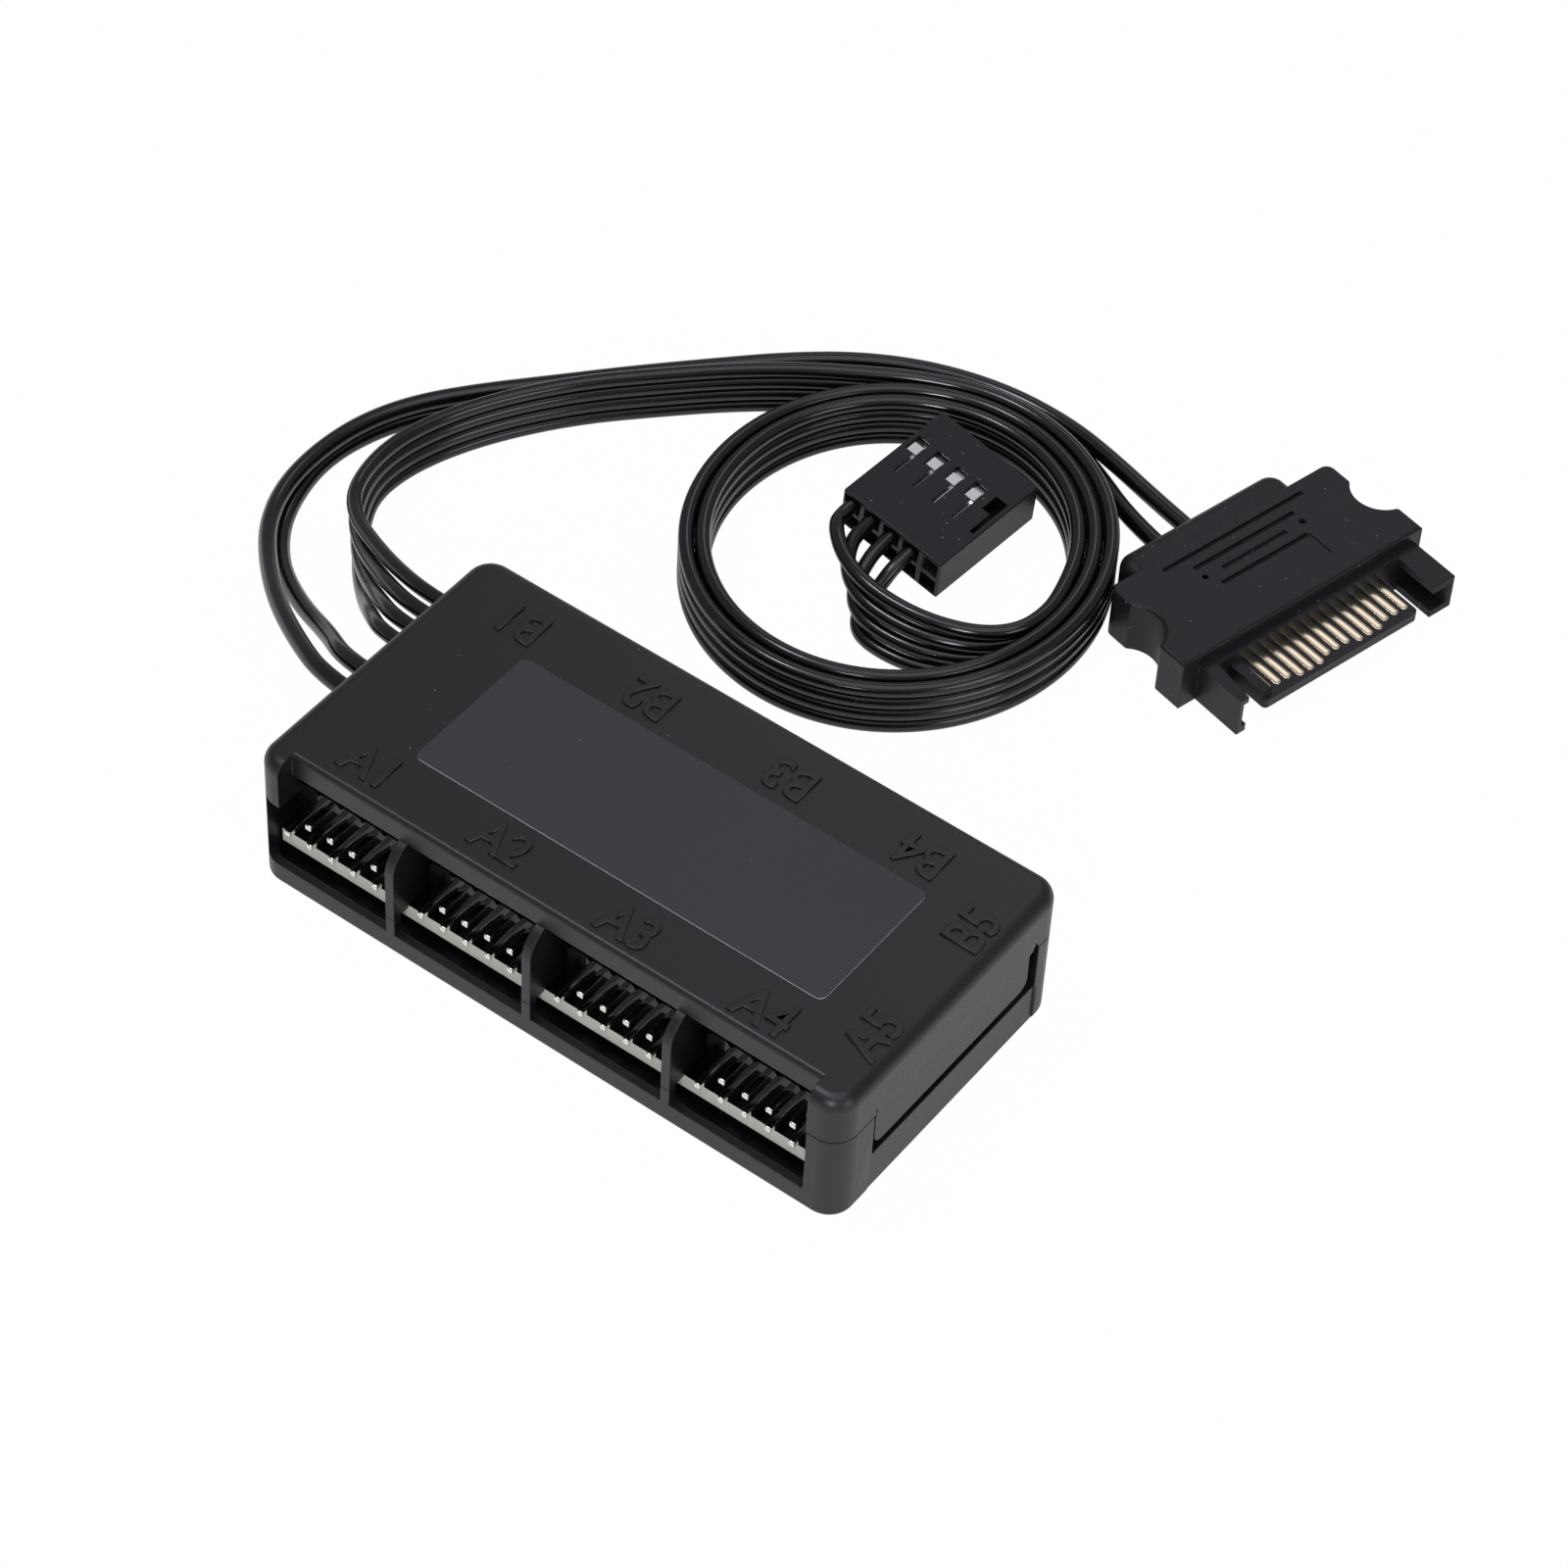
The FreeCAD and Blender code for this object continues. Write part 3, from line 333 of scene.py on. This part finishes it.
tailBottom = [
    (7.3, 50.8, usbLow), (6.3, 47.0, usbLow), (3.3, 43.4, usbLow), (-0.8, 41.2, usbLow),
    (-4.4, 40.8, usbLow), (-7.4, 41.3, usbLow), (-9.0, 43.3, 1.0), (-8.7, 46.0, 2.2)]
tailTop = [
    (7.3, 50.8, usbHigh), (6.6, 47.4, usbHigh), (3.9, 44.7, usbHigh), (-0.5, 43.1, usbHigh),
    (-4.8, 42.8, usbHigh), (-8.6, 43.1, 5.8), (-12.0, 44.6, 6.0), (-14.8, 47.2, 6.0)]
pairLower = [
    (-25.5, 0.65, boardTop), (-25.5, 0.65, powerLie), (-36.2, 0.65, powerLie), (-42.0, 4.9, 7.4),
    (-48.4, 8.3, 4.4), (-54.4, 12.4, 2.2), (-58.4, 16.8, 1.1), (-60.6, 21.2, powerLow)]
pairUpper = [
    (-25.5, -2.25, boardTop), (-25.5, -2.25, powerLie), (-36.2, -2.25, powerLie), (-43.1, 1.5, 9.0),
    (-49.4, 5.9, 6.7), (-54.8, 10.9, 4.6), (-58.8, 15.6, 3.4), (-61.2, 20.9, powerHigh + 0.1)]
pairStacked = [
    (-61.8, 26.6), (-61.1, 32.2), (-58.9, 37.5), (-55.1, 42.7), (-50.2, 48.3), (-45.1, 54.2),
    (-39.8, 59.9), (-34.4, 65.6), (-28.6, 70.5), (-22.0, 74.0), (-14.6, 75.9), (-7.2, 75.9)]
pairEnds = [(-1.8, 73.0, 1.8), (-1.2, 74.3, 3.1)]
coil = {"centre": (-10.1, 50.6), "startDeg": 120.5, "sweepDeg": 830.0, "radius": 21.1, "step": 1.62,
        "stretch": (0.985, 1.04), "pointsPerTurn": 20}
crimpPlug = {"corner": (-17.3, 51.7, 1.65), "across": (12.54, -1.37, -1.5), "along": (1.65, 13.86, 1.13),
             "pitch": 2.54, "height": 5.1, "contactRear": 3.2, "tailStraight": 1.6}
flatPlug = {"place": (22.15, 68.6), "turnDeg": -14.3, "rear": -11.95, "wireDepth": 3.9, "wireHeight": 2.9,
            "wireY": (-4.35, -0.45)}

across = Vector(crimpPlug["across"]).normalized()
upward = across.cross(Vector(crimpPlug["along"])).normalized()
alongPlug = upward.cross(across)
columns = (across, alongPlug, upward, crimpPlug["corner"])
crimpFrame = Matrix([[column[row] for column in columns] for row in range(3)] + [[0, 0, 0, 1]])
flatFrame = (Matrix.Translation(Vector((*flatPlug["place"], 0)))
             @ Matrix.Rotation(math.radians(flatPlug["turnDeg"]), 4, "Z"))


def between(bottom, top, share):
    return [tuple(Vector(low).lerp(Vector(high), share)) for low, high in zip(bottom, top)]


def coilPoints(height):
    # A quadratic spline runs inside its control points, so they stand out a little
    turns = coil["sweepDeg"] / 360
    count = round(turns * coil["pointsPerTurn"])
    swell = 1 / (0.75 + 0.25 * math.cos(2 * math.pi / coil["pointsPerTurn"]))
    points = []
    for index in range(count + 1):
        turned = coil["sweepDeg"] * index / count
        angle = math.radians(coil["startDeg"] - turned)
        radius = (coil["radius"] - coil["step"] * turned / 360) * swell
        points.append((coil["centre"][0] + coil["stretch"][0] * radius * math.cos(angle),
                       coil["centre"][1] + coil["stretch"][1] * radius * math.sin(angle), height))
    return points


def wireCurve(name, points, diameter):
    curve = bpy.data.curves.new(name, "CURVE")
    curve.dimensions = "3D"
    curve.bevel_depth = diameter / 2 * mm
    curve.bevel_resolution = 5
    curve.resolution_u = 6
    curve.use_fill_caps = True
    spline = curve.splines.new("NURBS")
    spline.points.add(len(points) - 1)
    for point, place in zip(spline.points, points):
        point.co = (*[value * mm for value in place], 1)
    spline.order_u = 3
    spline.use_endpoint_u = True
    curve.materials.append(wirePvc)
    return addObject(name, curve)


usbWires = []
for index in range(usbWire["count"]):
    rise = index / (usbWire["count"] - 1)
    height = usbLow + index * usbWire["pitch"]
    points = between(leadBottom, leadTop, rise) + [(x, y, height) for x, y in leadOnEdge]
    points += coilPoints(height) + between(tailBottom, tailTop, rise)
    cell = Vector(((usbWire["count"] - 1 - index + 0.5) * crimpPlug["pitch"], 0,
                   crimpPlug["height"] / 2 + crimpPlug["pitch"] / 2))
    for y in (-crimpPlug["tailStraight"], crimpPlug["contactRear"]):
        points.append(tuple(crimpFrame @ (cell + Vector((0, y, 0)))))
    usbWires.append(wireCurve(f"usbWire{index + 1}", points, usbWire["diameter"]))

powerWires = []
for index, (points, height) in enumerate(((pairLower, powerLow), (pairUpper, powerHigh))):
    points = points + [(x, y, height) for x, y in pairStacked] + [pairEnds[index]]
    for x in (flatPlug["rear"] - flatPlug["wireDepth"], flatPlug["rear"] + flatPlug["wireDepth"]):
        points.append(tuple(flatFrame @ Vector((x, flatPlug["wireY"][index], flatPlug["wireHeight"]))))
    powerWires.append(wireCurve(f"powerWire{index + 1}", points, powerWire["diameter"]))
print("wires laid")


# Moulded pieces: the solids, with flat faces made whole so that rounded edges blend into them

def plainMesh(piece, name):
    # What the modifiers make, kept as the piece's own mesh
    shown = bpy.data.meshes.new_from_object(piece.evaluated_get(bpy.context.evaluated_depsgraph_get()))
    drawn = piece.data
    piece.modifiers.clear()
    piece.data = shown
    bpy.data.meshes.remove(drawn)
    shown.name = name


def stand(piece, slotName, *nodeNames):
    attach(piece, "root")
    if nodeNames:
        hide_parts(*nodeNames)


moulding = {"weld": 0.001, "flatDeg": 0.3, "sharpDeg": 30, "faceWeight": 100,
            "rimInset": 0.5, "rimTilt": 0.5}


def mouldedCopy(nodeName, look):
    bm = bmesh.new()
    bm.from_mesh(nodes[nodeName].data)
    bmesh.ops.remove_doubles(bm, verts=bm.verts, dist=moulding["weld"] * mm)
    bmesh.ops.dissolve_limit(
        bm, angle_limit=math.radians(moulding["flatDeg"]), verts=bm.verts, edges=bm.edges)
    mesh = bpy.data.meshes.new(look["piece"])
    bm.to_mesh(mesh)
    bm.free()
    mesh.polygons.foreach_set("use_smooth", [True] * len(mesh.polygons))
    mesh.set_sharp_from_angle(angle=math.radians(moulding["sharpDeg"]))
    piece = addObject(look["piece"], mesh)
    normals = piece.modifiers.new("evenFaces", "WEIGHTED_NORMAL")
    normals.weight = moulding["faceWeight"]
    normals.keep_sharp = True
    plainMesh(piece, look["piece"])
    piece.data.materials.clear()
    piece.data.materials.append(look["finish"])
    if "rim" in look:  # upright faces along the outline
        piece.data.materials.append(look["rim"])
        low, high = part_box(nodeName)
        for face in piece.data.polygons:
            middle = face.center
            inset = min(middle.x - low[0], high[0] - middle.x, middle.y - low[1], high[1] - middle.y)
            if abs(face.normal.z) < moulding["rimTilt"] and inset < moulding["rimInset"] * mm:
                face.material_index = 1
    stand(piece, look["slot"], nodeName)
    return piece


mouldedPieces = {
    "case_base": {"piece": "caseBase", "finish": caseAbs, "slot": "case_plastic"},
    "case_lid": {"piece": "caseLid", "finish": caseAbs, "slot": "case_plastic"},
    # The label's rim faces get the pale painted highlight
    "top_label": {"piece": "topLabel", "finish": labelFilm, "slot": "label_film", "rim": labelEdgeHighlight},
    "circuit_board": {"piece": "circuitBoard", "finish": solderMask, "slot": "solder_mask",
                      "rim": boardEdge},
    "usb_plug_housing": {"piece": "crimpHousing", "finish": plugNylon, "slot": "plug_plastic"},
    "usb_plug_contacts": {"piece": "crimpContacts", "finish": crimpTin, "slot": "contact_metal"},
    "power_plug_housing": {"piece": "flatHousing", "finish": plugNylon, "slot": "plug_plastic"},
}
portsPerSide = 4
for row in "ab":
    for number in range(1, portsPerSide + 1):
        mouldedPieces[f"port_{row}{number}_body"] = {
            "piece": f"headerStrip{row.upper()}{number}", "finish": headerPbt, "slot": "header_plastic"}
made = {nodeName: mouldedCopy(nodeName, look) for nodeName, look in mouldedPieces.items()}
print("moulded pieces made")


# Rows of metal, set out by node trees

def startTree(name, inputs):
    tree = bpy.data.node_groups.new(name, "GeometryNodeTree")
    keys = {}
    for label, kind in inputs.items():
        keys[label] = tree.interface.new_socket(label, in_out="INPUT", socket_type=kind).identifier
    tree.interface.new_socket("Geometry", in_out="OUTPUT", socket_type="NodeSocketGeometry")
    source = addNode(tree, "NodeGroupInput", {}).outputs
    return tree, keys, source


def endTree(tree, source, geometry):
    whole = addNode(tree, "GeometryNodeRealizeInstances", {"Geometry": geometry})
    dressed = addNode(tree, "GeometryNodeSetMaterial", {
        "Geometry": whole.outputs[0], "Material": source["Finish"]})
    addNode(tree, "NodeGroupOutput", {"Geometry": dressed.outputs[0]})


def setOut(name, tree, keys, values):
    piece = addObject(name, bpy.data.meshes.new(f"{name}Start"))
    rows = piece.modifiers.new("rows", "NODES")
    rows.node_group = tree
    for label, value in values.items():
        rows[keys[label]] = value
    plainMesh(piece, name)
    return piece


bladeEdges = {"brokenDeg": 40, "segments": 2, "sharpDeg": 50}


def bladeMesh(name, outline, thickness, edge):
    # A flat outline in the XY plane given thickness, with its edges broken
    bm = bmesh.new()
    face = bm.faces.new([bm.verts.new((x * mm, y * mm, 0)) for x, y in outline])
    grown = bmesh.ops.extrude_face_region(bm, geom=[face])
    raised = [item for item in grown["geom"] if isinstance(item, bmesh.types.BMVert)]
    bmesh.ops.translate(bm, verts=raised, vec=(0, 0, thickness * mm))
    bmesh.ops.recalc_face_normals(bm, faces=bm.faces)
    sharp = [item for item in bm.edges if item.calc_face_angle() > math.radians(bladeEdges["brokenDeg"])]
    bmesh.ops.bevel(bm, geom=sharp, offset=edge * mm, segments=bladeEdges["segments"], profile=0.5,
                    affect="EDGES")
    mesh = bpy.data.meshes.new(name)
    bm.to_mesh(mesh)
    bm.free()
    mesh.polygons.foreach_set("use_smooth", [True] * len(mesh.polygons))
    mesh.set_sharp_from_angle(angle=math.radians(bladeEdges["sharpDeg"]))
    return mesh


def arc(centre, radius, fromDeg, toDeg, steps):
    angles = [math.radians(fromDeg + (toDeg - fromDeg) * step / steps) for step in range(steps + 1)]
    x, y = centre
    return [(x + radius * math.cos(angle), y + radius * math.sin(angle)) for angle in angles]


def pinMesh(name, tip, leg, height):
    # Square wire bent down to the board: drawn on its side, then turned upright
    half = headerPins["size"] / 2
    bend = headerPins["bend"]
    taper = headerPins["taper"]
    inner = (leg - half - bend, height - half - bend)
    outline = [(tip, height - half + taper), (tip + taper, height - half)]
    outline += arc(inner, bend, 90, 0, headerPins["innerSteps"])
    outline += [(leg - half, headerPins["foot"]), (leg + half, headerPins["foot"])]
    outline += arc(inner, bend + 2 * half, 0, 90, headerPins["outerSteps"])
    outline += [(tip + taper, height + half), (tip, height + half - taper)]
    mesh = bladeMesh(name, outline, headerPins["size"], headerPins["edge"])
    upright = Matrix(((0, 0, 1, 0), (1, 0, 0, 0), (0, 1, 0, 0), (0, 0, 0, 1)))
    mesh.transform(Matrix.Translation((-half * mm, 0, 0)) @ upright)
    return mesh


headerPins = {"size": 0.64, "pitch": 2.54, "perRow": 5, "tip": -15.4, "legs": (-8.4, -5.86),
              "heights": (5.87, 8.41), "foot": 1.8, "bend": 0.35, "taper": 0.09, "edge": 0.06,
              "innerSteps": 4, "outerSteps": 6, "ports": (-24.62, -9.17, 6.28, 21.73)}
nearPin, farPin = [
    addObject(label, pinMesh(label, headerPins["tip"], leg, height))
    for label, leg, height in zip(("nearPin", "farPin"), headerPins["legs"], headerPins["heights"])]
pinTree, pinKeys, source = startTree("pin rows", {
    "Near pin": "NodeSocketObject", "Far pin": "NodeSocketObject",
    "Pins": "NodeSocketInt", "Pitch": "NodeSocketFloat",
    "Place": "NodeSocketVector", "Turn": "NodeSocketVector", "Finish": "NodeSocketMaterial"})
step = addNode(pinTree, "ShaderNodeCombineXYZ", {"X": source["Pitch"]})
line = addNode(pinTree, "GeometryNodeMeshLine", {"Count": source["Pins"], "Offset": step.outputs[0]})
index = addNode(pinTree, "GeometryNodeInputIndex", {})
keyed = addNode(pinTree, "FunctionNodeCompare", {
    "data_type": "INT", "operation": "EQUAL", "A": index.outputs[0]})
shortLine = addNode(pinTree, "GeometryNodeDeleteGeometry", {
    "Geometry": line.outputs[0], "Selection": keyed.outputs[0]})  # the missing key pin
joined = addNode(pinTree, "GeometryNodeJoinGeometry", {})
for label, points in (("Near pin", line), ("Far pin", shortLine)):
    shape = addNode(pinTree, "GeometryNodeObjectInfo", {"Object": source[label]})
    row = addNode(pinTree, "GeometryNodeInstanceOnPoints", {
        "Points": points.outputs[0], "Instance": shape.outputs["Geometry"]})
    pinTree.links.new(row.outputs[0], joined.inputs[0])
moved = addNode(pinTree, "GeometryNodeTransform", {
    "Geometry": joined.outputs[0], "Translation": source["Place"], "Rotation": source["Turn"]})
endTree(pinTree, source, moved.outputs[0])
firstPin = (headerPins["perRow"] - 1) / 2 * headerPins["pitch"]
for row, way in (("a", 1), ("b", -1)):
    for number, x in enumerate(headerPins["ports"], 1):
        piece = setOut(f"headerPins{row.upper()}{number}", pinTree, pinKeys, {
            "Near pin": nearPin, "Far pin": farPin,
            "Pins": headerPins["perRow"], "Pitch": headerPins["pitch"] * mm,
            "Place": ((x - way * firstPin) * mm, 0, 0), "Turn": (0, 0, 0 if way == 1 else math.pi),
            "Finish": pinGold})
        stand(piece, "contact_metal", f"port_{row}{number}_pins")

flatContacts = {"count": 15, "pitch": 1.27, "width": 0.84, "thickness": 0.2, "foot": 2.7, "shift": 0.3,
                "root": -2.65, "tip": 8.3, "stagger": 0.5, "perGroup": 3, "edge": 0.05, "tipSteps": 10}
halfWidth = flatContacts["width"] / 2
outline = [(flatContacts["root"], -halfWidth)]
outline += arc((flatContacts["tip"] - halfWidth, 0), halfWidth, -90, 90, flatContacts["tipSteps"])
outline += [(flatContacts["root"], halfWidth)]
blade = addObject("blade", bladeMesh("blade", outline, flatContacts["thickness"], flatContacts["edge"]))
rowTree, rowKeys, source = startTree("contact row", {
    "Contact": "NodeSocketObject", "Contacts": "NodeSocketInt",
    "Pitch": "NodeSocketFloat", "Per group": "NodeSocketFloat",
    "Stagger": "NodeSocketFloat", "Finish": "NodeSocketMaterial"})
step = addNode(rowTree, "ShaderNodeCombineXYZ", {"Y": source["Pitch"]})
line = addNode(rowTree, "GeometryNodeMeshLine", {"Count": source["Contacts"], "Offset": step.outputs[0]})
index = addNode(rowTree, "GeometryNodeInputIndex", {})
share = addNode(rowTree, "ShaderNodeMath", {
    "operation": "DIVIDE", 0: index.outputs[0], 1: source["Per group"]})
group = addNode(rowTree, "ShaderNodeMath", {"operation": "FLOOR", 0: share.outputs[0]})
odd = addNode(rowTree, "ShaderNodeMath", {"operation": "MODULO", 0: group.outputs[0], 1: 2})
reach = addNode(rowTree, "ShaderNodeMath", {  # every second group stands further out
    "operation": "MULTIPLY", 0: odd.outputs[0], 1: source["Stagger"]})
ahead = addNode(rowTree, "ShaderNodeCombineXYZ", {"X": reach.outputs[0]})
staggered = addNode(rowTree, "GeometryNodeSetPosition", {
    "Geometry": line.outputs[0], "Offset": ahead.outputs[0]})
shape = addNode(rowTree, "GeometryNodeObjectInfo", {"Object": source["Contact"]})
row = addNode(rowTree, "GeometryNodeInstanceOnPoints", {
    "Points": staggered.outputs[0], "Instance": shape.outputs["Geometry"]})
endTree(rowTree, source, row.outputs[0])
contactPiece = setOut("flatContacts", rowTree, rowKeys, {
    "Contact": blade, "Contacts": flatContacts["count"], "Pitch": flatContacts["pitch"] * mm,
    "Per group": flatContacts["perGroup"], "Stagger": flatContacts["stagger"] * mm, "Finish": contactGold})
firstContact = flatContacts["shift"] - (flatContacts["count"] - 1) / 2 * flatContacts["pitch"]
contactPlace = flatFrame @ Matrix.Translation((0, firstContact, flatContacts["foot"]))
contactPlace.translation *= mm
contactPiece.data.transform(contactPlace)
stand(contactPiece, "contact_metal", "power_plug_contacts")
made["power_plug_contacts"] = contactPiece
for pattern in (nearPin, farPin, blade):
    bpy.data.objects.remove(pattern)
print("pins and contacts set out")

insideFinishes = {
    "hub_chip_a": chipEpoxy, "hub_chip_b": chipEpoxy, "chip_resistors": chipEpoxy,
    "crystal": canAluminium, "bulk_capacitor": canAluminium, "ceramic_capacitors": firedCeramic}
for nodeName, finish in insideFinishes.items():
    nodes[nodeName].data.materials.clear()
    nodes[nodeName].data.materials.append(finish)

# Port codes moulded on the lid: low narrow letters with softened edges
portCodes = {
    "capHeight": 3.7, "capShare": 0.7,  # share of the type's size that a capital fills
    "narrow": 0.88, "raise": 0.16, "edge": 0.06, "weight": 0.04, "lidTop": 15.6,
    "places": (  # code, x, y, turn in degrees
        ("A1", -23.2, -11.1, 0), ("A2", -8.6, -10.9, 0), ("A3", 6.0, -11.6, 0), ("A4", 20.8, -11.8, 0),
        ("B1", -24.0, 11.1, 180), ("B2", -9.2, 11.1, 180), ("B3", 6.4, 11.2, 180), ("B4", 20.9, 11.2, 180),
        ("A5", 29.6, -7.9, 90), ("B5", 29.4, 6.9, 90)),
}
for code, x, y, turnDeg in portCodes["places"]:
    letters = bpy.data.curves.new(f"code{code}", "FONT")
    letters.body = code
    letters.align_x = "CENTER"
    letters.align_y = "CENTER"
    letters.resolution_u = 4
    letters.size = portCodes["capHeight"] / portCodes["capShare"] * mm
    letters.extrude = portCodes["raise"] * mm
    letters.bevel_depth = portCodes["edge"] * mm
    letters.bevel_resolution = 1
    letters.offset = portCodes["weight"] * mm
    drawn = addObject(f"code{code}Drawn", letters)
    mesh = bpy.data.meshes.new_from_object(drawn.evaluated_get(bpy.context.evaluated_depsgraph_get()))
    bpy.data.objects.remove(drawn)
    onLid = Matrix.Translation(Vector((x, y, portCodes["lidTop"])) * mm)
    turn = Matrix.Rotation(math.radians(turnDeg), 4, "Z")
    mesh.transform(onLid @ turn @ Matrix.Diagonal((portCodes["narrow"], 1, 1, 1)))
    mesh.materials.clear()
    mesh.materials.append(caseAbs)
    raised = addObject(f"code{code}", mesh)
    stand(raised, "case_plastic")
print("port codes raised")


# Cords

for index, wire in enumerate(usbWires):
    stand(wire, "wire_pvc", f"usb_lead_{index + 1}", f"usb_tail_{index + 1}", "usb_coil")
for index, wire in enumerate(powerWires):
    stand(wire, "wire_pvc", f"power_wire_{index + 1}")
